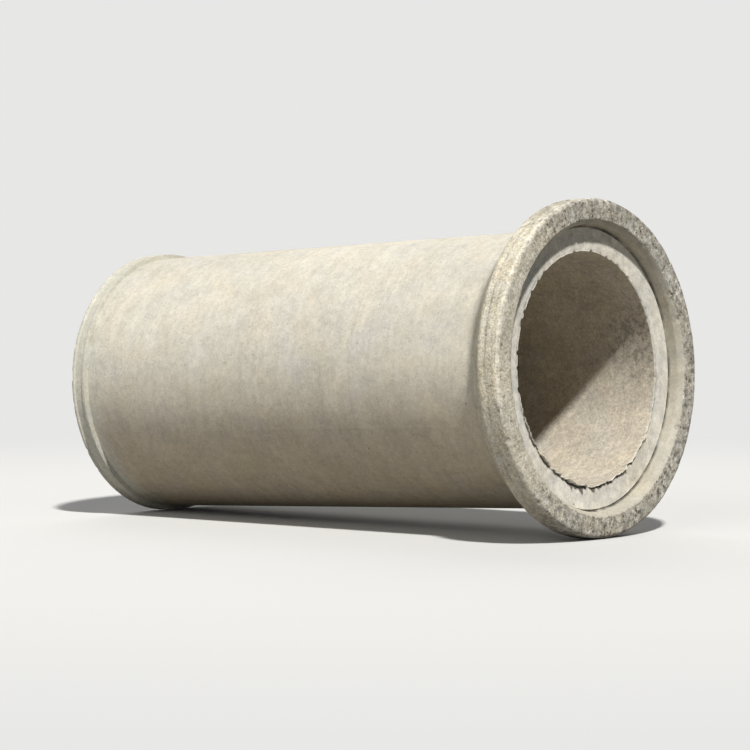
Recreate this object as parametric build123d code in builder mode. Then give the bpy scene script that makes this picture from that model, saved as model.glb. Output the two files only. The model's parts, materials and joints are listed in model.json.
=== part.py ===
from build123d import *
from math import asin, atan2, cos, degrees, hypot, radians, sin, tan
import os

# Precast concrete sewer pipe with a short bell at one end and a spigot with a gasket
# groove at the other. It is cast in one piece, so it is one solid. It lies on level
# ground, on the back of its bell and on the tip of its spigot, with the bell's mouth
# towards -Y. All sizes are in millimetres.

# Waterway and barrel
bore_diameter = 800.0
wall_thickness = 80.0  # of the barrel, where the bell's cone meets it
barrel_draft = 12.0  # how much the barrel narrows towards the spigot, on the radius
laying_length = 2000.0  # from the shoulder in the bell to the tip of the spigot

# Spigot: a ridge, a groove for the rubber ring and a bead at the tip
spigot_wall = 85.0
ridge_width = 18.0
ridge_flank = 4.0  # run of the step up from the barrel
groove_width = 38.0  # across its top
groove_depth = 6.0
groove_flank = 3.0  # run of each sloping side
bead_width = 12.0

# Socket: the next pipe's spigot enters it with this gap all round
joint_gap = 7.0
socket_straight_length = 35.0
lead_in_length = 20.0
lead_in_flare = 15.0  # how much wider the mouth is than the socket, on the radius

# Bell
bell_wall = 88.0
bell_straight_length = 85.0
bell_cone_angle = 44.0  # from the pipe's axis, in degrees

# Edges rounded or chamfered by the mould
lip_round = 12.0
mouth_round = 5.0
socket_root_chamfer = 5.0
bell_back_round = 24.0
cone_foot_round = 60.0
tip_round = 6.0
bore_chamfer = 4.0

# Radii that follow from the sizes above
bore_radius = bore_diameter / 2
barrel_radius = bore_radius + wall_thickness
barrel_end_radius = barrel_radius - barrel_draft
spigot_radius = bore_radius + spigot_wall
groove_radius = spigot_radius - groove_depth
socket_radius = spigot_radius + joint_gap
mouth_radius = socket_radius + lead_in_flare
bell_radius = socket_radius + bell_wall

# Places along the axis, counted from the face of the bell
socket_depth = lead_in_length + socket_straight_length
overall_length = socket_depth + laying_length
bell_cone_length = (bell_radius - barrel_radius) / tan(radians(bell_cone_angle))
bell_length = bell_straight_length + bell_cone_length
bead_start = overall_length - bead_width
groove_start = bead_start - groove_width
ridge_start = groove_start - ridge_width

# The half section: each corner's place along the axis, its radius and its rounding
section_corners = [
    (0, mouth_radius, mouth_round),
    (0, bell_radius, lip_round),
    (bell_straight_length, bell_radius, bell_back_round),
    (bell_length, barrel_radius, cone_foot_round),
    (ridge_start, barrel_end_radius, 0),
    (ridge_start + ridge_flank, spigot_radius, 0),
    (groove_start, spigot_radius, 0),
    (groove_start + groove_flank, groove_radius, 0),
    (bead_start - groove_flank, groove_radius, 0),
    (bead_start, spigot_radius, 0),
    (overall_length, spigot_radius, tip_round),
    (overall_length, bore_radius + bore_chamfer, 0),
    (overall_length - bore_chamfer, bore_radius, 0),
    (socket_depth + bore_chamfer, bore_radius, 0),
    (socket_depth, bore_radius + bore_chamfer, 0),
    (socket_depth, socket_radius - socket_root_chamfer, 0),
    (socket_depth - socket_root_chamfer, socket_radius, 0),
    (lead_in_length, socket_radius, 0),
]

# How the pipe leans: the ground line touches the rounded back of the bell and the
# rounded tip of the spigot, two circles whose centres lie inside the wall
bell_contact_along = bell_straight_length - bell_back_round * tan(radians(bell_cone_angle / 2))
bell_contact_out = bell_radius - bell_back_round
tip_contact_along = overall_length - tip_round
tip_contact_out = spigot_radius - tip_round
contact_drop = bell_contact_out - tip_contact_out
contact_run = tip_contact_along - bell_contact_along
contact_span = hypot(contact_drop, contact_run)
lean = atan2(contact_drop, contact_run) - asin((tip_round - bell_back_round) / contact_span)

# Height of the axis at the bell's face, and the shift that centres the length
axis_height = bell_contact_out * cos(lean) + bell_contact_along * sin(lean) + bell_back_round
front_end = lip_round * cos(lean) - (bell_radius - lip_round) * sin(lean) - lip_round
back_end = tip_contact_along * cos(lean) + tip_contact_out * sin(lean) + tip_round
axis_start = -(front_end + back_end) / 2

section_plane = Plane(
    origin=(0, axis_start, axis_height),
    x_dir=(0, cos(lean), -sin(lean)),
    z_dir=(1, 0, 0),
)
pipe_axis = Axis(section_plane.origin, section_plane.x_dir)

os.makedirs("parts", exist_ok=True)

with BuildPart() as concrete_pipe:
    with BuildSketch(section_plane):
        with BuildLine():
            FilletPolyline(
                [(along, out) for along, out, rounding in section_corners],
                radius=[rounding for along, out, rounding in section_corners],
                close=True,
            )
        make_face()
    revolve(axis=pipe_axis)

concrete_pipe.part.label = "concrete_pipe"
export_step(concrete_pipe.part, "parts/concrete_pipe.step")

print(f"leans {degrees(lean):.3f} degrees, axis {axis_height:.2f} mm up at the bell's face")
print(f"bell's face at Y {axis_start:.2f} mm, overall length {overall_length:.0f} mm")
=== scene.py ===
import json
import math
import random

import bmesh
import bpy
from mathutils import Matrix, Vector, kdtree, noise


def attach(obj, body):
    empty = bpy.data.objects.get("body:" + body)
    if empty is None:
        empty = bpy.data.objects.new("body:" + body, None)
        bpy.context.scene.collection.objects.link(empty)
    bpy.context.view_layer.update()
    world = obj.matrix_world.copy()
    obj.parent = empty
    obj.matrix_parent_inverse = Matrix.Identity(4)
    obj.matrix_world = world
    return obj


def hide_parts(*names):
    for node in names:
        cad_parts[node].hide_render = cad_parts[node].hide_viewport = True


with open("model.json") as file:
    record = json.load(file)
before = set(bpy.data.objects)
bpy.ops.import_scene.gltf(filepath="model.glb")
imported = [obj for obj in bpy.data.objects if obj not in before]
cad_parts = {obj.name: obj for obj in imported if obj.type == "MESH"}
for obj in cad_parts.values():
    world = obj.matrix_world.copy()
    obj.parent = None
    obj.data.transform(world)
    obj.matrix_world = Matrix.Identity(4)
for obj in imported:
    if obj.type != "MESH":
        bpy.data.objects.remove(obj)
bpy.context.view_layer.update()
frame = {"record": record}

# The mounts in the record say where the pipe lies: its axis, the socket and the three radii
mounts = {mount["name"]: mount for mount in frame["record"]["mounts"]}
socketMount = mounts["socket"]
pipeAxis = -Vector(socketMount["axis"]).normalized()
boreRadius = mounts["waterway"]["dims"]["r_mm"] / 1000
socketRadius = socketMount["dims"]["r_mm"] / 1000
spigotRadius = mounts["spigot"]["dims"]["r_mm"] / 1000

# All lengths are in metres. Places along the pipe are counted from the face of the bell
pipeShape = {
    "steps": 608,  # columns round the pipe
    "length": 2.055,
    "socketDepth": 0.055,
    "leadIn": 0.020,
    "mouthFlare": 0.015,
    "rootChamfer": 0.005,
    "bellRadius": 0.580,
    "bellStraight": 0.085,
    "bellLength": 0.1886,  # band and cone together
    "barrelRadius": 0.480,
    "barrelEndRadius": 0.468,
    "ridgeWidth": 0.018,
    "ridgeFlank": 0.004,
    "grooveWidth": 0.038,
    "grooveFlank": 0.003,
    "grooveDepth": 0.006,
    "beadWidth": 0.012,
    "boreChamfer": 0.004,
    # Rounded corners, as radius and segments
    "mouthRound": (0.006, 2),
    "lipRound": (0.012, 4),
    "bellBackRound": (0.024, 5),
    "coneFootRound": (0.060, 5),
    "spigotRound": (0.0012, 1),
    "tipRound": (0.006, 2),
    # Extra rings in the bore, counted from the spigot's tip and from the seat
    "ringsNearTip": (0.004, 0.010, 0.020, 0.050),
    "ringsNearSeat": (0.060, 0.026, 0.015, 0.009, 0.0045),
    # The fin at the bore's edge, as (behind the seat, out of the bore): its inner edge, its
    # outer edge, the gap behind it and the gap's far side
    "finRings": ((0.0012, 0.0006), (0, 0.0026), (0, 0.0052), (0, 0.0085)),
    # The crease at the socket's root, as (behind the seat, out of the socket)
    "creaseRings": ((0, -0.0105), (0.0042, -0.0066), (-0.0008, -0.0010), (-0.0065, 0)),
}
mouthRadius = socketRadius + pipeShape["mouthFlare"]
socketMiddle = (pipeShape["leadIn"] + pipeShape["socketDepth"] - pipeShape["rootChamfer"]) / 2
bellFace = Vector(socketMount["pos_m"]) - pipeAxis * socketMiddle
lean = math.atan2(pipeAxis.z, pipeAxis.y)
pipePlace = Matrix.Translation(bellFace) @ Matrix.Rotation(lean, 4, "X")
print("pipe placed, bell's face at", [round(v, 4) for v in bellFace])


# Camera and light

viewSetup = {
    "azimuth": 309.6,  # degrees round from -Y; the bell is seen at the photograph's angle
    "cameraHeight": 0.95,
    "distance": 11.5,
    "lens": 153.0,
    "aim": (0.02, -0.01, 0.535),
    "clipEnd": 200,
    # Each lamp as the way its light travels, its strength, its width in degrees and its colour
    "lamps": {
        "keyLight": ((0.36, 0.49, -0.793), 3.70, 4.0, (1.0, 0.985, 0.955)),
        "sideLight": ((0.93, 0.06, -0.36), 0.80, 45.0, (1.0, 0.99, 0.97)),
        "backLight": ((-0.62, -0.52, -0.58), 0.95, 50.0, (1.0, 0.985, 0.96)),
    },
    "lampDistance": 6,  # only where the lamps are drawn; a sun lights the same from anywhere
    "skyFill": (0.80, 0.89, 1.0),
    "skyStrength": 0.09,
    "background": (0.80, 0.80, 0.79),
}


def makeCamera():
    data = bpy.data.cameras.new("camera")
    data.lens = viewSetup["lens"]
    data.clip_end = viewSetup["clipEnd"]
    camera = bpy.data.objects.new("camera", data)
    bpy.context.scene.collection.objects.link(camera)
    turn = math.radians(viewSetup["azimuth"])
    away = Vector((math.sin(turn), -math.cos(turn), 0)) * viewSetup["distance"]
    camera.location = (away.x, away.y, viewSetup["cameraHeight"])
    sight = Vector(viewSetup["aim"]) - camera.location
    camera.rotation_euler = sight.to_track_quat("-Z", "Y").to_euler()
    bpy.context.scene.camera = camera


def makeLights():
    for name, (travel, strength, angle, colour) in viewSetup["lamps"].items():
        data = bpy.data.lights.new(name, "SUN")
        data.energy = strength
        data.angle = math.radians(angle)
        data.color = colour
        sun = bpy.data.objects.new(name, data)
        sun.rotation_euler = Vector(travel).to_track_quat("-Z", "Y").to_euler()
        sun.location = -Vector(travel) * viewSetup["lampDistance"]
        bpy.context.scene.collection.objects.link(sun)


# Small helpers for node trees

def newNode(tree, kind, **values):
    node = tree.nodes.new(kind)
    for name, value in values.items():
        setattr(node, name, value)
    return node


def plug(tree, socket, value):
    if isinstance(value, bpy.types.NodeSocket):
        tree.links.new(value, socket)
    elif isinstance(value, tuple) and len(value) == 3 and socket.type == "RGBA":
        socket.default_value = (*value, 1)
    else:
        socket.default_value = value


def calc(tree, operation, first, second=0.0, clamp=False):
    node = newNode(tree, "ShaderNodeMath", operation=operation, use_clamp=clamp)
    plug(tree, node.inputs[0], first)
    plug(tree, node.inputs[1], second)
    return node.outputs[0]


def times(tree, first, *others):
    for other in others:
        first = calc(tree, "MULTIPLY", first, other)
    return first


def plus(tree, first, *others):
    for other in others:
        first = calc(tree, "ADD", first, other)
    return first


def byShare(tree, base, *shares):
    # base, and for each (where, amount) pair as much more as the place has of it
    for where, amount in shares:
        base = plus(tree, times(tree, where, amount), base)
    return base


def blendColour(tree, share, first, second, mode="MIX"):
    node = newNode(tree, "ShaderNodeMix", data_type="RGBA", blend_type=mode)
    plug(tree, node.inputs[0], share)
    plug(tree, node.inputs[6], first)
    plug(tree, node.inputs[7], second)
    return node.outputs[2]


def grey(tree, value):
    node = newNode(tree, "ShaderNodeCombineColor")
    for channel in node.inputs[:3]:
        plug(tree, channel, value)
    return node.outputs[0]


def remap(tree, value, low, high, newLow=0.0, newHigh=1.0, smooth=False):
    kind = "SMOOTHSTEP" if smooth else "LINEAR"
    node = newNode(tree, "ShaderNodeMapRange", interpolation_type=kind)
    plug(tree, node.inputs["Value"], value)
    node.inputs["From Min"].default_value = low
    node.inputs["From Max"].default_value = high
    node.inputs["To Min"].default_value = newLow
    node.inputs["To Max"].default_value = newHigh
    return node.outputs[0]


def smoothStep(tree, value, edges):
    return remap(tree, value, *edges, smooth=True)


def mapped(tree, vector, scale, place=(0, 0, 0)):
    node = newNode(tree, "ShaderNodeMapping", vector_type="POINT")
    plug(tree, node.inputs["Vector"], vector)
    node.inputs["Scale"].default_value = scale
    node.inputs["Location"].default_value = place
    return node.outputs[0]


def vectorCalc(tree, operation, vector, output):
    node = newNode(tree, "ShaderNodeVectorMath", operation=operation)
    plug(tree, node.inputs[0], vector)
    return node.outputs[output]


def splitVector(tree, vector):
    node = newNode(tree, "ShaderNodeSeparateXYZ")
    plug(tree, node.inputs[0], vector)
    return node.outputs


def cloud(tree, vector, scale, detail, rough, twist=0.0):
    node = newNode(tree, "ShaderNodeTexNoise")
    plug(tree, node.inputs["Vector"], vector)
    node.inputs["Scale"].default_value = scale
    node.inputs["Detail"].default_value = detail
    node.inputs["Roughness"].default_value = rough
    node.inputs["Distortion"].default_value = twist
    return node.outputs["Fac"]


def spots(tree, vector, scale, share, sizes, soft):
    # Round spots in a share of the cells of a cell pattern: 1 in a spot's middle, 0 outside
    node = newNode(tree, "ShaderNodeTexVoronoi", feature="F1")
    plug(tree, node.inputs["Vector"], vector)
    node.inputs["Scale"].default_value = scale
    pick = newNode(tree, "ShaderNodeSeparateColor")
    plug(tree, pick.inputs[0], node.outputs["Color"])
    chosen = calc(tree, "LESS_THAN", pick.outputs[0], share)
    size = remap(tree, pick.outputs[1], 0, 1, *sizes)
    edge = calc(tree, "DIVIDE", node.outputs["Distance"], size)
    inside = remap(tree, edge, 1.0, 1.0 - soft, 0, 1)
    return times(tree, inside, chosen)


def zone(tree, name):
    return newNode(tree, "ShaderNodeAttribute", attribute_name=name).outputs["Fac"]


# The pipe's mesh: half a section, spun round the axis

# How far apart the rings may be on each surface
ringSpacing = {
    "boreEnds": 0.020,
    "bore": 0.115,
    "barrelEnds": 0.030,
    "barrel": 0.080,
    "tip": 0.0085,
    "spigot": 0.0070,
    "lip": 0.0049,
    "seat": 0.0062,
    "socket": 0.0095,
    "bellBand": 0.0072,
    "bellCone": 0.0090,
}
sameSurface = 0.001  # two places that are nearer than this lie on one surface
spigotReach = 0.09  # the spigot and a little of the barrel, from the tip


def filletOffset(before, corner, after, radius):
    # Distance from a corner to where its rounding starts
    one = (Vector(before) - Vector(corner)).normalized()
    two = (Vector(after) - Vector(corner)).normalized()
    turn = math.pi - one.angle(two)
    return radius * math.tan(turn / 2)


def pipeSection():
    # Corners as (along, radius, rounding, segments), once round the section
    s = pipeShape
    length = s["length"]
    depth = s["socketDepth"]
    beadStart = length - s["beadWidth"]
    grooveStart = beadStart - s["grooveWidth"]
    ridgeStart = grooveStart - s["ridgeWidth"]
    grooveRadius = spigotRadius - s["grooveDepth"]
    return [
        (0.0, mouthRadius, *s["mouthRound"]),
        (0.0, s["bellRadius"], *s["lipRound"]),
        (s["bellStraight"], s["bellRadius"], *s["bellBackRound"]),
        (s["bellLength"], s["barrelRadius"], *s["coneFootRound"]),
        (ridgeStart, s["barrelEndRadius"], 0, 0),
        (ridgeStart + s["ridgeFlank"], spigotRadius, *s["spigotRound"]),
        (grooveStart, spigotRadius, *s["spigotRound"]),
        (grooveStart + s["grooveFlank"], grooveRadius, 0, 0),
        (beadStart - s["grooveFlank"], grooveRadius, 0, 0),
        (beadStart, spigotRadius, *s["spigotRound"]),
        (length, spigotRadius, *s["tipRound"]),
        (length, boreRadius + s["boreChamfer"], 0, 0),
        *[(length - back, boreRadius, 0, 0) for back in s["ringsNearTip"]],
        *[(depth + back, boreRadius, 0, 0) for back in s["ringsNearSeat"]],
        *[(depth + back, boreRadius + out, 0, 0) for back, out in s["finRings"]],
        *[(depth + back, socketRadius + out, 0, 0) for back, out in s["creaseRings"]],
        (s["leadIn"], socketRadius, 0, 0),
    ]


def wantedSpacing(along, radius):
    # How far apart the rings may be at a place on the section
    s = pipeShape
    fromTip = s["length"] - along
    if radius < boreRadius + sameSurface:
        atEnd = along < 0.12 or fromTip < 0.06
        return ringSpacing["boreEnds" if atEnd else "bore"]
    if along > s["bellLength"] - 0.01 and fromTip > spigotReach:
        atEnd = along < 0.30 or fromTip < 0.15
        return ringSpacing["barrelEnds" if atEnd else "barrel"]
    if fromTip <= spigotReach:
        return ringSpacing["tip" if fromTip < sameSurface else "spigot"]
    if along < sameSurface:
        return ringSpacing["lip"]
    if abs(along - s["socketDepth"]) < sameSurface:
        return ringSpacing["seat"]
    if radius < s["bellRadius"] - 0.05 and along < s["socketDepth"]:
        return ringSpacing["socket"]
    return ringSpacing["bellBand" if along < s["bellStraight"] else "bellCone"]


def spinPipe():
    bm = bmesh.new()
    corners = pipeSection()
    verts = [bm.verts.new((radius, along, 0)) for along, radius, rounding, segments in corners]
    bm.faces.new(verts)
    for index, (vert, (along, radius, rounding, segments)) in enumerate(zip(verts, corners)):
        if rounding:
            before = corners[index - 1][:2]
            after = corners[(index + 1) % len(corners)][:2]
            offset = filletOffset(before, (along, radius), after, rounding)
            bmesh.ops.bevel(
                bm, geom=[vert], offset=offset, offset_type="OFFSET", segments=segments,
                profile=0.5, affect="VERTICES", material=-1, clamp_overlap=False,
            )
    bmesh.ops.delete(bm, geom=list(bm.faces), context="FACES_ONLY")
    for edge in list(bm.edges):
        middle = (edge.verts[0].co + edge.verts[1].co) / 2
        cuts = math.ceil(edge.calc_length() / wantedSpacing(middle.y, middle.x)) - 1
        if cuts > 0:
            bmesh.ops.subdivide_edges(bm, edges=[edge], cuts=cuts)
    rings = len(bm.verts)
    bmesh.ops.spin(
        bm, geom=list(bm.verts) + list(bm.edges), cent=(0, 0, 0), axis=(0, 1, 0),
        dvec=(0, 0, 0), angle=2 * math.pi, steps=pipeShape["steps"],
        use_merge=True, use_duplicate=False,
    )
    bmesh.ops.remove_doubles(bm, verts=list(bm.verts), dist=1e-6)
    bmesh.ops.recalc_face_normals(bm, faces=list(bm.faces))
    if bm.calc_volume(signed=True) < 0:
        bmesh.ops.reverse_faces(bm, faces=list(bm.faces))
    bm.normal_update()
    print("pipe spun:", rings, "rings,", len(bm.verts), "points")
    return bm


# Zones of the surface, from where a point lies before the relief moves it

# The last zone is painted shade: nearly black in the gap behind the fin and in the crease at the
# socket's root
zoneNames = ("lip", "seat", "socket", "bore", "bell", "barrel", "spigot", "tip", "broken", "gap")
zoneEdges = {
    "boreOut": 0.0005,  # as far out of the bore's radius the surface still counts as bore
    "lip": (0.004, 0.011),  # the lip passes into the bell's band from here to there
    "bell": (0.160, 0.205),  # and the bell into the barrel
    "bellEnd": 0.02,  # past the foot of the cone
    "seat": (0.0045, 0.006),  # in front of the seat and behind it
    "tip": 0.0015,  # from the end of the pipe
    "spigot": 0.069,
}


def fade(value, low, high):
    share = min(max((value - low) / (high - low), 0), 1)
    return share * share * (3 - 2 * share)


def zonesAt(along, radius):
    s = pipeShape
    edges = zoneEdges
    result = dict.fromkeys(zoneNames, 0.0)
    fromTip = s["length"] - along
    onBell = along < s["bellLength"] + edges["bellEnd"] and radius > mouthRadius - sameSurface
    if radius < boreRadius + edges["boreOut"]:
        result["bore"] = 1.0
    elif onBell:
        front = 1 - fade(along, *edges["lip"])
        result["lip"] = front
        result["bell"] = (1 - front) * (1 - fade(along, *edges["bell"]))
        result["barrel"] = fade(along, *edges["bell"])
    elif along < s["socketDepth"] - edges["seat"][0]:
        result["socket"] = 1.0
    elif along < s["socketDepth"] + edges["seat"][1]:
        result["seat"] = 1.0
    elif fromTip < edges["tip"]:
        result["tip"] = 1.0
    elif fromTip < edges["spigot"]:
        result["spigot"] = 1.0
    else:
        result["barrel"] = 1.0
    return result


# Wear and relief. The bell is only worn away, because it reaches the model's box

wear = {
    "seed": 47,
    # Dents and chips are pressed in with balls: how many, the balls' radii, then how deep.
    # A dent's depth is a share of its ball, a chip's is in metres
    "lipDents": (230, (0.0035, 0.0085), (0.35, 0.7)),
    "bellDents": (150, (0.004, 0.009), (0.25, 0.5)),
    "outerChips": (26, (0.014, 0.034), (0.002, 0.006)),
    "mouthChips": (14, (0.012, 0.026), (0.002, 0.005)),
    "tipChips": (12, (0.010, 0.024), (0.002, 0.005)),
    "boreNotches": (30, (0.007, 0.016), (0.002, 0.0055)),
    "spigotNotches": (34, (0.006, 0.014), (0.003, 0.006)),
    # How far a chip leans towards the side of the pipe, beside 1 along it
    "outerTilt": (0.5, 1.4),
    "mouthTilt": (0.4, 1.1),
    "tipTilt": (0.5, 1.5),
    "spigotNotchSide": (150, 0.9),  # the middle in degrees and the spread in radians
    "lipMargins": (0.004, 0.006),  # no dent nearer to the mouth or to the outer edge
    "bandMargin": 0.012,
    "edgeSetback": {"outer": 0.0025, "mouth": 0.001, "tip": 0.0015, "bore": 0.0015, "end": 0.002},
    "reach": 1.25,  # how far from a ball its points are looked for, in ball radii
    "uneven": (0.22, 1.7),  # how lumpy a ball is, and how fine its lumps are
    "steepest": 1.3,  # the furthest push, in depths
    "fullyBroken": 0.0022,  # a push at which the surface shows its aggregate
    # Two seams that the mould left along the barrel
    "seamAngles": (-158, -22),
    "seamHalfWidth": 0.42,
    "seamHeight": 0.0005,
    "seamNoise": (0.7, 0.5, 15),
}

# How deep the surface is worn away: everywhere, and with the broad, middle and small noise
reliefDepths = {
    "lip": (0.0008, 0.0006, 0.0007, 0.0009),
    "bell": (0.0007, 0.0006, 0.0005, 0.0004),
    "seat": (0, 0.0004, 0.0003, 0),
    "socket": (0, 0, 0.0006, 0.0006),
    "barrel": (0, 0.0005, 0.0003, 0),
    "spigot": (0.0004, 0, 0.0004, 0.0004),
    "tip": (0.0006, 0, 0.0005, 0.0003),
    "bore": (0, 0.0006, 0, 0),
}
reliefNoises = ((7.0, (0, 0, 0)), (26.0, (3, 1, 8)), (88.0, (9, 4, 2)))
neverRaised = ("lip", "bell")

# The fin of cement that the core left at the bore's edge, and the gap behind it
fin = {
    # Humps of its height, as height, middle and half width in degrees
    "humps": ((0.0052, -98, 26), (0.0046, -80, 92)),
    "least": 0.0010,
    # Raggedness round the pipe, as strength, scale and seed
    "usual": 0.95,
    "ragged": ((1.0, 8, 3.1), (1.3, 19, 9.4), (1.0, 44, 7.7)),
    "lowest": 0.12,
    "sway": ((0.0050, 17, 5.5), (0.0034, 45, 2.5)),
    "swayShare": (0.3, 0.7, -90, 100),
    "outerDrop": 0.8,  # the outer edge's height, as a share of the inner edge's
    "outerInset": 0.0008,
    "gapDepth": 0.55,
    "gapSpread": (0.0034, 36, 1.5),
    "gapWidth": (0.0024, 0.2),  # at least, and more as a share of the fin's height
    "openAt": 0.003,  # the fin's height at which the gap is fully open
    # Painted shade in the gap: full where the fin is this tall; on the gap's far side, full at this
    # height and at most this share
    "darkAt": 0.004,
    "farSideDark": (0.012, 0.6),
}

# Painted shade, nearly black, in the crease at the socket's root
crease = {
    "zone": (-0.001, 0.005),  # along the pipe, from the seat
    "inset": 0.0085,
    "usual": 0.55,
    "noises": ((0.8, 5, 8.8), (0.6, 21, 4.2)),
    "low": (0.3, -60, 70),  # more of it low down, as strength, middle and half width
    "behind": 0.9,
    "before": 0.6,
}


def pointAt(along, radius, angle):
    return Vector((radius * math.cos(angle), along, radius * math.sin(angle)))


def angleNoise(angle, scale, seed):
    # A closed curve of noise round the pipe, about -1 to 1
    return noise.noise(Vector((math.cos(angle) * scale, math.sin(angle) * scale, seed)))


def noiseSum(start, noises, angle):
    for strength, scale, seed in noises:
        start += strength * angleNoise(angle, scale, seed)
    return start


def degreesApart(angle, middle):
    return abs((math.degrees(angle) - middle + 180) % 360 - 180)


def near(angle, middle, half):
    # 1 at an angle, 0 further than half away from it, in degrees
    return 1 - fade(degreesApart(angle, middle), half * 0.55, half)


def makeBites(rng):
    # Dents and chips: balls that stand outside the concrete and push its surface in
    s = pipeShape
    setback = wear["edgeSetback"]
    bites = []

    def bite(along, radius, angle, outward, ball, depth):
        # outward is the direction out of the concrete, as (along, radial)
        length = math.hypot(*outward)
        away = Vector((
            outward[1] / length * math.cos(angle),
            outward[0] / length,
            outward[1] / length * math.sin(angle),
        ))
        bites.append((pointAt(along, radius, angle) + away * (ball - depth), ball, depth))

    def anyAngle():
        return rng.uniform(-math.pi, math.pi)

    count, balls, depths = wear["lipDents"]
    inner, outer = wear["lipMargins"]
    for _ in range(count):
        angle = anyAngle()
        radius = rng.uniform(mouthRadius + inner, s["bellRadius"] - outer)
        ball = rng.uniform(*balls)
        bite(0, radius, angle, (-1, 0), ball, ball * rng.uniform(*depths))

    count, balls, depths = wear["outerChips"]
    back = setback["outer"]
    for _ in range(count):
        angle = anyAngle()
        ball = rng.uniform(*balls)
        tilt = rng.uniform(*wear["outerTilt"])
        bite(back, s["bellRadius"] - back, angle, (-1, tilt), ball, rng.uniform(*depths))

    count, balls, depths = wear["mouthChips"]
    back = setback["mouth"]
    for _ in range(count):
        angle = anyAngle()
        ball = rng.uniform(*balls)
        tilt = -rng.uniform(*wear["mouthTilt"])
        bite(back, mouthRadius + back, angle, (-1, tilt), ball, rng.uniform(*depths))

    count, balls, depths = wear["bellDents"]
    margin = wear["bandMargin"]
    for _ in range(count):
        angle = anyAngle()
        ball = rng.uniform(*balls)
        along = rng.uniform(margin, s["bellStraight"] - margin)
        bite(along, s["bellRadius"], angle, (0, 1), ball, ball * rng.uniform(*depths))

    count, balls, depths = wear["tipChips"]
    back = setback["tip"]
    for _ in range(count):
        angle = anyAngle()
        ball = rng.uniform(*balls)
        tilt = rng.uniform(*wear["tipTilt"])
        along = s["length"] - back
        bite(along, spigotRadius - back, angle, (1, tilt), ball, rng.uniform(*depths))

    count, balls, depths = wear["boreNotches"]
    back = setback["bore"]
    for _ in range(count):
        angle = anyAngle()
        ball = rng.uniform(*balls)
        along = s["socketDepth"] + back
        bite(along, boreRadius + back, angle, (-1, -1), ball, rng.uniform(*depths))

    # Most of these are on one side, where the core was drawn out
    count, balls, depths = wear["spigotNotches"]
    back = setback["end"]
    middle, spread = wear["spigotNotchSide"]
    for _ in range(count):
        angle = rng.gauss(math.radians(middle), spread)
        ball = rng.uniform(*balls)
        along = s["length"] - back
        bite(along, boreRadius + back, angle, (1, -1), ball, rng.uniform(*depths))
    return bites


def finHeight(angle):
    tall = sum(height * near(angle, *where) for height, *where in fin["humps"]) + fin["least"]
    return tall * max(noiseSum(fin["usual"], fin["ragged"], angle), fin["lowest"])


def reliefMove(co, normal, zones, angle):
    # A small move of one point along its normal
    depth = 0.0
    noises = [noise.noise(co * scale + Vector(place)) for scale, place in reliefNoises]
    for name, (usual, *strengths) in reliefDepths.items():
        if not zones[name]:
            continue
        rough = usual + sum(strength * value for strength, value in zip(strengths, noises))
        depth += zones[name] * max(rough, 0) if name in neverRaised else rough
    for middle in wear["seamAngles"]:
        if zones["barrel"] and degreesApart(angle, middle) < wear["seamHalfWidth"]:
            usual, strength, scale = wear["seamNoise"]
            height = wear["seamHeight"] * (usual + strength * noise.noise(co * scale))
            depth -= zones["barrel"] * height
    return -normal * depth


def setZones(bm, layers):
    # Each point's zones, and where it lies on the plain pipe
    places = []
    for vert in bm.verts:
        radius = math.hypot(vert.co.x, vert.co.z)
        along = vert.co.y
        zones = zonesAt(along, radius)
        for name in zoneNames:
            vert[layers[name]] = zones[name]
        angle = math.atan2(vert.co.z, vert.co.x)
        places.append((along, radius, angle, zones, vert.normal.copy()))
    print("zones set")
    return places


def darkenCrease(bm, layers, places):
    low, high = crease["zone"]
    strength, *foot = crease["low"]
    for vert, (along, radius, angle, zones, normal) in zip(bm.verts, places):
        out = along - pipeShape["socketDepth"]
        if low < out < high and radius > socketRadius - crease["inset"]:
            # Painted shade in the crease, patchy round the pipe and more of it low down
            creaseShade = noiseSum(crease["usual"], crease["noises"], angle)
            creaseShade = min(max(creaseShade + strength * near(angle, *foot), 0), 1)
            vert[layers["gap"]] = creaseShade * crease["behind" if out > 0 else "before"]
            vert[layers["seat"]] = 0
            vert[layers["socket"]] = 1


def finRingAt(along, radius):
    for ring, (back, out) in enumerate(pipeShape["finRings"]):
        behind = along - pipeShape["socketDepth"] - back
        if abs(behind) < 1e-5 and abs(radius - boreRadius - out) < 1e-4:
            return ring
    return None


def raiseFin(vert, ring, angle, gap):
    # Move one point of the fin or of the gap behind it, and set the painted shade in the gap
    height = finHeight(angle)
    out = Vector((math.cos(angle), 0, math.sin(angle)))
    least, more, *foot = fin["swayShare"]
    sway = noiseSum(0, fin["sway"], angle) * (least + more * near(angle, *foot))
    if ring == 0:
        vert.co += out * sway + Vector((0, -height, 0))
    elif ring == 1:
        vert.co += out * (sway - fin["outerInset"]) + Vector((0, -fin["outerDrop"] * height, 0))
    elif ring == 2:
        vert.co += out * sway + Vector((0, fin["gapDepth"] * height, 0))
        # Painted shade in the gap, darker behind a taller fin
        vert[gap] = min(height / fin["darkAt"], 1)
    else:
        least, share = fin["gapWidth"]
        spread = noiseSum(least + share * height, [fin["gapSpread"]], angle)
        vert.co += out * (sway + spread * min(height / fin["openAt"], 1))
        fullHeight, darkest = fin["farSideDark"]
        vert[gap] = min(height / fullHeight, darkest)


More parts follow.
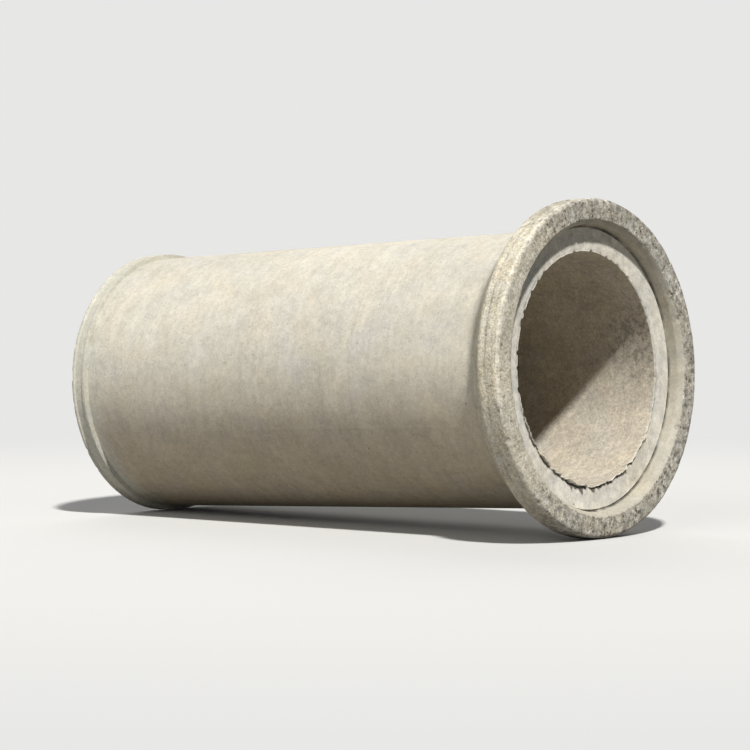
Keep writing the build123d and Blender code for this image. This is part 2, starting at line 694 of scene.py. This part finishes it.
def pressBites(bm, broken):
    tree = kdtree.KDTree(len(bm.verts))
    for index, vert in enumerate(bm.verts):
        tree.insert(vert.co, index)
    tree.balance()
    bm.verts.ensure_lookup_table()
    rng = random.Random(wear["seed"])
    lumpy, fineness = wear["uneven"]
    for centre, ball, depth in makeBites(rng):
        seed = Vector((rng.uniform(0, 9), rng.uniform(0, 9), rng.uniform(0, 9)))
        for co, index, distance in tree.find_range(centre, ball * wear["reach"]):
            vert = bm.verts[index]
            away = vert.co - centre
            length = away.length
            edge = ball * (1 + lumpy * noise.noise(away / ball * fineness + seed))
            if 1e-5 < length < edge:
                push = min(edge - length, depth * wear["steepest"])
                vert.co += away / length * push
                vert[broken] = max(vert[broken], min(push / wear["fullyBroken"], 1))
    bmesh.ops.recalc_face_normals(bm, faces=list(bm.faces))
    print("dents and chips done")


def wearPipe(bm):
    layers = {name: bm.verts.layers.float.new(name) for name in zoneNames}
    places = setZones(bm, layers)
    darkenCrease(bm, layers, places)
    for vert, (along, radius, angle, zones, normal) in zip(bm.verts, places):
        ring = finRingAt(along, radius)
        if ring is None:
            vert.co += reliefMove(vert.co, normal, zones, angle)
        else:
            raiseFin(vert, ring, angle, layers["gap"])
    print("relief done")
    pressBites(bm, layers["broken"])


# The pipe's concrete

concreteLook = {
    "colours": {
        "barrel": (0.67, 0.63, 0.54),
        "bell": (0.50, 0.463, 0.380),
        "lip": (0.49, 0.457, 0.386),
        "seat": (0.87, 0.83, 0.735),
        "socket": (0.53, 0.495, 0.415),
        "bore": (0.60, 0.54, 0.445),
        "spigot": (0.62, 0.60, 0.52),
        "tip": (0.81, 0.765, 0.67),
        "broken": (0.52, 0.485, 0.41),
        "grime": (0.15, 0.135, 0.11),
        "bloom": (0.86, 0.83, 0.76),
        "ochre": (0.62, 0.49, 0.30),
        # Painted shade in the gap behind the fin and in the crease at the socket's root
        "gap": (0.030, 0.027, 0.022),
        # These multiply the colour below them
        "washed": (1.48, 1.46, 1.40),
        # Painted shade under the barrel
        "underShadeTint": (0.90, 0.82, 0.72),
        "cooler": (0.982, 0.999, 1.028),
        "warmer": (1.016, 1.0, 0.964),
    },
    # Noise in the pipe's coordinates: stretch, place, scale, detail, roughness and distortion
    "patterns": {
        "tone": ((1, 1, 1), (0, 0, 0), 1.7, 3, 0.50, 0.0),
        "mottle": ((1, 1, 1), (0, 0, 0), 8.5, 5, 0.62, 0.3),
        "patches": ((1, 1, 1), (4, 2, 7), 27, 4, 0.60, 0.0),
        "grain": ((1, 1, 1), (0, 0, 0), 125, 4, 0.62, 0.0),
        "dust": ((1, 1, 1), (0, 0, 0), 390, 2, 0.60, 0.0),
        "streaks": ((24, 1.4, 24), (0, 0, 0), 1.0, 4, 0.60, 0.0),
        "hoops": ((1.5, 42, 1.5), (0, 0, 0), 1.0, 3, 0.60, 0.0),
        "flecks": ((1, 1, 1), (6, 3, 2), 46, 5, 0.70, 0.2),
        "warmth": ((1, 1, 1), (8, 8, 5), 6.5, 4, 0.60, 0.0),
        "worn": ((1, 1, 1), (5, 2, 9), 7, 3, 0.55, 0.0),
        "cream": ((1, 1, 1), (1, 6, 4), 30, 5, 0.68, 0.3),
        "blots": ((1, 1, 1), (9, 5, 1), 22, 5, 0.72, 0.0),
        "dirt": ((1, 1, 1), (2, 8, 3), 15, 6, 0.74, 0.0),
        "splashes": ((1, 1, 1), (0, 0, 0), 46, 5, 0.75, 0.0),
        "stains": ((3, 1.2, 3), (1, 1, 6), 1.6, 4, 0.60, 0.0),
    },
    "strokes": (52, 3, 0.60),  # scale, detail and roughness
    "rings": (1.0, 4, 0.62),
    "ringsFine": 75,  # across the marks that run round the lip
    "ringsLong": 5,  # and along them
    # What the patterns' values become: from where, to where, and the results there
    "bands": {
        "tone": (0.30, 0.70, -0.07, 0.06),
        "mottle": (0.30, 0.70, -1, 1),
        "patches": (0.30, 0.70, -0.05, 0.05),
        "grain": (0.32, 0.68, -0.5, 0.5),
        "flecks": (0.34, 0.66, -0.5, 0.5),
        "worn": (0.38, 0.60, 0.45, 2.0),
        "strokes": (0.38, 0.62, -0.5, 0.4),
        "dust": (0.30, 0.70, -0.05, 0.05),
        "rings": (0.33, 0.67, -0.5, 0.5),
        "hoops": (0.35, 0.65, -0.035, 0.03),
        "streaks": (0.35, 0.65, -0.035, 0.03),
        "cream": (0.34, 0.66, 0.72, 1.12),
        "warmth": (0.35, 0.65, 0, 1),
        "blots": (0.51, 0.64, 0, 1),
        "dirt": (0.49, 0.68, 0, 1),
        "splashes": (0.46, 0.60, 0, 1),
        "stains": (0.55, 0.75, 0, 1),
        "cornerRub": (0.35, 0.55, 0, 1),
        "scuffGrain": (0.40, 0.55, 0, 1),
        "brokenGrain": (0.35, 0.65, 0, 1),
        "grainHeight": (0.2, 0.8, 0, 1),
        "dustHeight": (0.2, 0.8, 0, 1),
        "roughness": (0.3, 0.7, 0.84, 0.97),
    },
    # Round spots: scale, share of the cells, sizes in cells and softness
    "spots": {
        "pits": (62, 0.30, (0.18, 0.42), 0.35),
        "smallPits": (150, 0.22, (0.18, 0.42), 0.35),
        "bugholes": (17, 0.4, (0.03, 0.08), 0.5),
        "smallBugholes": (58, 0.22, (0.07, 0.16), 0.5),
        "scuffs": (8.5, 0.14, (0.04, 0.09), 0.7),
    },
    "scuffStretch": (1, 0.3, 1),
    "scuffPlace": (0.3, 0.1, 0.7),
    # Where things fade in, in metres across the pipe, along it and above its axis
    "top": (0.30, 0.52),
    "weatherSide": (-0.18, -0.44),
    # The painted shade under the barrel fades in from here to there, above its axis
    "paintedUnderShade": (0.12, -0.34),
    "splashAlong": (0.42, 0.10),
    "splashFoot": (-0.16, 0.04),
    "splashHead": (0.26, 0.14),
    "splashSide": (0.20, 0.30),
    "bumpStrength": 0.75,
    "bumpDistance": 0.0022,
    "specular": 0.1,
}


def band(tree, name, value):
    return remap(tree, value, *concreteLook["bands"][name])


def pipeCoordinates(tree):
    # The pipe's own coordinates: y runs along its axis from the bell's face
    turn = newNode(tree, "ShaderNodeMapping", vector_type="TEXTURE")
    plug(tree, turn.inputs["Vector"], newNode(tree, "ShaderNodeTexCoord").outputs["Object"])
    turn.inputs["Location"].default_value = bellFace
    turn.inputs["Rotation"].default_value = (lean, 0, 0)
    return turn.outputs[0]


def findPlaces(tree, place):
    # How much each point has of each zone and side, by name
    across, along, up = splitVector(tree, place)
    on = {name: zone(tree, name) for name in zoneNames}
    on["face"] = calc(tree, "ADD", on["lip"], on["bell"], clamp=True)
    halfBell = times(tree, on["bell"], 0.55)
    on["coarse"] = calc(tree, "ADD", on["lip"], halfBell, clamp=True)
    on["top"] = smoothStep(tree, up, concreteLook["top"])
    on["weatherSide"] = smoothStep(tree, across, concreteLook["weatherSide"])
    on["calm"] = byShare(tree, 1.0, (on["weatherSide"], -0.72))
    on["rough"] = times(tree, on["coarse"], on["calm"])
    # Painted shade on the barrel, more of it towards its bottom
    on["paintedUnderShade"] = times(tree, on["barrel"], smoothStep(tree, up, concreteLook["paintedUnderShade"]))
    on["splashed"] = times(
        tree,
        smoothStep(tree, along, concreteLook["splashAlong"]),
        smoothStep(tree, up, concreteLook["splashFoot"]),
        smoothStep(tree, up, concreteLook["splashHead"]),
        smoothStep(tree, across, concreteLook["splashSide"]),
    )
    return on


def makePatterns(tree, place):
    look = concreteLook
    pattern = {}
    for name, (stretch, start, scale, detail, rough, twist) in look["patterns"].items():
        pattern[name] = cloud(tree, mapped(tree, place, stretch, start), scale, detail, rough, twist)

    # Strokes that run outwards, and marks that run round, from the ring that turned in the mould
    fromAxis = mapped(tree, place, (1, 0, 1))
    outwards = vectorCalc(tree, "NORMALIZE", fromAxis, 0)
    pattern["strokes"] = cloud(tree, outwards, *look["strokes"])
    _, along, up = splitVector(tree, place)
    ringPlace = newNode(tree, "ShaderNodeCombineXYZ")
    radius = vectorCalc(tree, "LENGTH", fromAxis, "Value")
    plug(tree, ringPlace.inputs[0], times(tree, radius, look["ringsFine"]))
    plug(tree, ringPlace.inputs[1], times(tree, along, look["ringsFine"]))
    plug(tree, ringPlace.inputs[2], times(tree, up, look["ringsLong"]))
    pattern["rings"] = cloud(tree, ringPlace.outputs[0], *look["rings"])
    return pattern


def zoneColour(tree, on):
    colours = concreteLook["colours"]
    colour = blendColour(tree, on["bell"], colours["barrel"], colours["bell"])
    for name in ("lip", "seat", "socket", "bore", "spigot", "tip"):
        colour = blendColour(tree, on[name], colour, colours[name])
    return colour


def pipeShade(tree, on, pattern):
    # How much lighter or darker than its zone each point is
    names = ("tone", "mottle", "patches", "grain", "flecks", "worn")
    names += ("strokes", "dust", "rings", "hoops", "streaks")
    shift = {name: band(tree, name, pattern[name]) for name in names}
    face, bore, barrel = on["face"], on["bore"], on["barrel"]
    flecks = times(tree, on["coarse"], shift["worn"], on["calm"])
    rings = times(tree, face, byShare(tree, 0.10, (on["weatherSide"], 0.15)))
    return plus(
        tree,
        plus(tree, shift["tone"], 1.0),
        times(tree, shift["mottle"], byShare(tree, 0.11, (barrel, -0.035))),
        shift["patches"],
        times(tree, shift["grain"], byShare(tree, 0.18, (face, 0.42), (bore, 0.22))),
        times(tree, shift["flecks"], byShare(tree, plus(tree, flecks, 0.15), (bore, 0.16))),
        times(tree, shift["strokes"], times(tree, on["lip"], on["top"], 0.50)),
        shift["dust"],
        times(tree, shift["rings"], rings),
        times(tree, shift["hoops"], barrel),
        times(tree, shift["streaks"], bore),
    )


def weather(tree, colour, on, pattern):
    # Broad changes of colour: a washed side, painted shade that makes the barrel darker and browner
    # towards its bottom, the creamy seat, warm and cool clouds
    colours = concreteLook["colours"]
    washed = times(tree, on["face"], on["weatherSide"], 0.8)
    colour = blendColour(tree, washed, colour, colours["washed"], "MULTIPLY")
    # Painted shade: the barrel darker and browner towards its bottom
    colour = blendColour(tree, on["paintedUnderShade"], colour, colours["underShadeTint"], "MULTIPLY")
    creamShare = times(tree, calc(tree, "ADD", on["seat"], on["tip"], clamp=True), 0.75)
    cream = grey(tree, band(tree, "cream", pattern["cream"]))
    colour = blendColour(tree, creamShare, colour, cream, "MULTIPLY")
    warm = band(tree, "warmth", pattern["warmth"])
    hue = blendColour(tree, warm, colours["cooler"], colours["warmer"])
    return blendColour(tree, 1.0, colour, hue, "MULTIPLY")


def stain(tree, colour, on, pattern, pits, holes, scuffs):
    # Bloom, grime, stains and painted shade, each over the one before
    colours = concreteLook["colours"]

    # Pale bloom in blots, and where the mould's edge rubbed the corner of the lip
    bloom = times(tree, band(tree, "blots", pattern["blots"]), times(tree, on["face"], 0.55))
    corner = times(tree, on["lip"], on["bell"])
    corner = calc(tree, "MULTIPLY", corner, 1.7, clamp=True)
    rubbed = times(tree, corner, band(tree, "cornerRub", pattern["flecks"]))
    colour = blendColour(tree, calc(tree, "MAXIMUM", bloom, rubbed), colour, colours["bloom"])

    # Grime in blots on the bell and lip and thin on the barrel, in scuffs along the barrel, and
    # splashed at one side of the bore; the pits and the holes that air bubbles left are darkened
    # with the same colour
    grime = [
        times(tree, band(tree, "dirt", pattern["dirt"]), byShare(tree, 0.10, (on["rough"], 0.50))),
        pits,
        times(tree, holes, 0.75),
        times(tree, scuffs, times(tree, on["barrel"], 0.8)),
        times(
            tree, band(tree, "splashes", pattern["splashes"]), on["splashed"],
            times(tree, on["bore"], 0.62),
        ),
    ]
    for share in grime:
        colour = blendColour(tree, share, colour, colours["grime"])

    stained = band(tree, "stains", pattern["stains"])
    stained = times(tree, stained, byShare(tree, 0.10, (on["bore"], 0.16)))
    colour = blendColour(tree, stained, colour, colours["ochre"])

    # Broken places show rough aggregate
    aggregate = band(tree, "brokenGrain", pattern["grain"])
    aggregate = blendColour(tree, aggregate, colours["grime"], colours["broken"])
    colour = blendColour(tree, times(tree, on["broken"], 0.5), colour, aggregate)
    # Painted shade, nearly black, in the gap behind the fin and in the crease at the socket's root
    return blendColour(tree, times(tree, on["gap"], 0.92), colour, colours["gap"])


def fineRelief(tree, on, pattern, pits, holes):
    grainHeight = band(tree, "grainHeight", pattern["grain"])
    height = times(tree, grainHeight, byShare(tree, 0.25, (on["face"], 0.85)))
    height = calc(tree, "SUBTRACT", height, times(tree, pits, 1.1))
    height = calc(tree, "SUBTRACT", height, holes)
    dustHeight = band(tree, "dustHeight", pattern["dust"])
    height = plus(tree, height, times(tree, dustHeight, byShare(tree, 0.22, (on["barrel"], -0.11))))
    bump = newNode(tree, "ShaderNodeBump")
    bump.inputs["Strength"].default_value = concreteLook["bumpStrength"]
    bump.inputs["Distance"].default_value = concreteLook["bumpDistance"]
    plug(tree, bump.inputs["Height"], height)
    return bump.outputs[0]


def makeConcrete():
    look = concreteLook
    material = bpy.data.materials.new("agedConcrete")
    material.use_nodes = True
    tree = material.node_tree
    tree.nodes.clear()
    place = pipeCoordinates(tree)
    on = findPlaces(tree, place)
    pattern = makePatterns(tree, place)

    def spotted(name, where=place):
        return spots(tree, where, *look["spots"][name])

    pits = calc(tree, "MAXIMUM", spotted("pits"), spotted("smallPits"))
    pits = times(tree, pits, byShare(tree, 0.13, (on["rough"], 0.72)))
    holes = calc(tree, "MAXIMUM", spotted("bugholes"), spotted("smallBugholes"))
    holes = times(tree, holes, byShare(tree, 0.8, (on["face"], -0.4)))
    scuffs = spotted("scuffs", mapped(tree, place, look["scuffStretch"], look["scuffPlace"]))
    scuffs = times(tree, scuffs, band(tree, "scuffGrain", pattern["grain"]))

    colour = zoneColour(tree, on)
    shade = grey(tree, pipeShade(tree, on, pattern))
    colour = blendColour(tree, 1.0, colour, shade, "MULTIPLY")
    colour = weather(tree, colour, on, pattern)
    colour = stain(tree, colour, on, pattern, pits, holes, scuffs)

    shader = newNode(tree, "ShaderNodeBsdfPrincipled")
    shader.inputs["Specular IOR Level"].default_value = look["specular"]
    plug(tree, shader.inputs["Base Color"], colour)
    plug(tree, shader.inputs["Roughness"], band(tree, "roughness", pattern["grain"]))
    plug(tree, shader.inputs["Normal"], fineRelief(tree, on, pattern, pits, holes))
    out = newNode(tree, "ShaderNodeOutputMaterial")
    tree.links.new(shader.outputs[0], out.inputs["Surface"])
    return material


pipeFinish = {
    "sharpFrom": 38,  # degrees between two faces
    "terminatorOffset": 0.08,  # without it the key light ends in a line along the barrel
}


def makePipe():
    bm = spinPipe()
    wearPipe(bm)
    bmesh.ops.transform(bm, matrix=pipePlace, verts=list(bm.verts))
    mesh = bpy.data.meshes.new("concretePipe")
    bm.to_mesh(mesh)
    bm.free()
    mesh.shade_smooth()
    mesh.set_sharp_from_angle(angle=math.radians(pipeFinish["sharpFrom"]))
    piece = bpy.data.objects.new("concretePipe", mesh)
    bpy.context.scene.collection.objects.link(piece)
    piece.shadow_terminator_shading_offset = pipeFinish["terminatorOffset"]
    mesh.materials.append(makeConcrete())
    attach(piece, "root")
    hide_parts("concrete_pipe")
    mesh.calc_loop_triangles()
    print("pipe made:", len(mesh.loop_triangles), "triangles")


# Floor and surroundings

floorLook = {
    "radius": 60.0,
    "corners": 96,
    "fade": (2.2, 6.0),  # the floor passes into the background from here to there
    "colour": (0.70, 0.697, 0.685),
    "bounce": (0.22, 0.215, 0.205),  # what it throws back at the pipe
}


def backgroundRays(tree):
    # 1 for rays that should see the plain pale background
    path = newNode(tree, "ShaderNodeLightPath")
    seen = calc(tree, "MAXIMUM", path.outputs["Is Camera Ray"], path.outputs["Is Glossy Ray"])
    return calc(tree, "MAXIMUM", seen, path.outputs["Is Transmission Ray"])


def mixShaders(tree, share, first, second):
    mix = newNode(tree, "ShaderNodeMixShader")
    plug(tree, mix.inputs[0], share)
    tree.links.new(first, mix.inputs[1])
    tree.links.new(second, mix.inputs[2])
    return mix.outputs[0]


def makeFloor():
    bm = bmesh.new()
    bmesh.ops.create_circle(
        bm, cap_ends=True, radius=floorLook["radius"], segments=floorLook["corners"],
    )
    mesh = bpy.data.meshes.new("floor")
    bm.to_mesh(mesh)
    bm.free()
    floor = bpy.data.objects.new("floor", mesh)
    bpy.context.scene.collection.objects.link(floor)
    material = bpy.data.materials.new("paleFloor")
    material.use_nodes = True
    tree = material.node_tree
    tree.nodes.clear()
    seen = backgroundRays(tree)
    place = newNode(tree, "ShaderNodeTexCoord").outputs["Object"]
    far = smoothStep(tree, vectorCalc(tree, "LENGTH", place, "Value"), floorLook["fade"])
    matte = newNode(tree, "ShaderNodeBsdfDiffuse")
    toned = blendColour(tree, seen, floorLook["bounce"], floorLook["colour"])
    plug(tree, matte.inputs["Color"], toned)
    glow = newNode(tree, "ShaderNodeEmission")
    plug(tree, glow.inputs["Color"], viewSetup["background"])
    surface = mixShaders(tree, times(tree, far, seen), matte.outputs[0], glow.outputs[0])
    out = newNode(tree, "ShaderNodeOutputMaterial")
    tree.links.new(surface, out.inputs["Surface"])
    mesh.materials.append(material)


def makeWorld():
    world = bpy.data.worlds.new("world")
    bpy.context.scene.world = world
    world.use_nodes = True
    tree = world.node_tree
    tree.nodes.clear()
    fill = newNode(tree, "ShaderNodeBackground")
    plug(tree, fill.inputs["Color"], viewSetup["skyFill"])
    fill.inputs["Strength"].default_value = viewSetup["skyStrength"]
    seen = newNode(tree, "ShaderNodeBackground")
    plug(tree, seen.inputs["Color"], viewSetup["background"])
    surface = mixShaders(tree, backgroundRays(tree), fill.outputs[0], seen.outputs[0])
    out = newNode(tree, "ShaderNodeOutputWorld")
    tree.links.new(surface, out.inputs["Surface"])


makeCamera()
makeLights()
makeWorld()
print("camera and light ready")
makePipe()
makeFloor()
bpy.context.scene.view_settings.view_transform = "Standard"
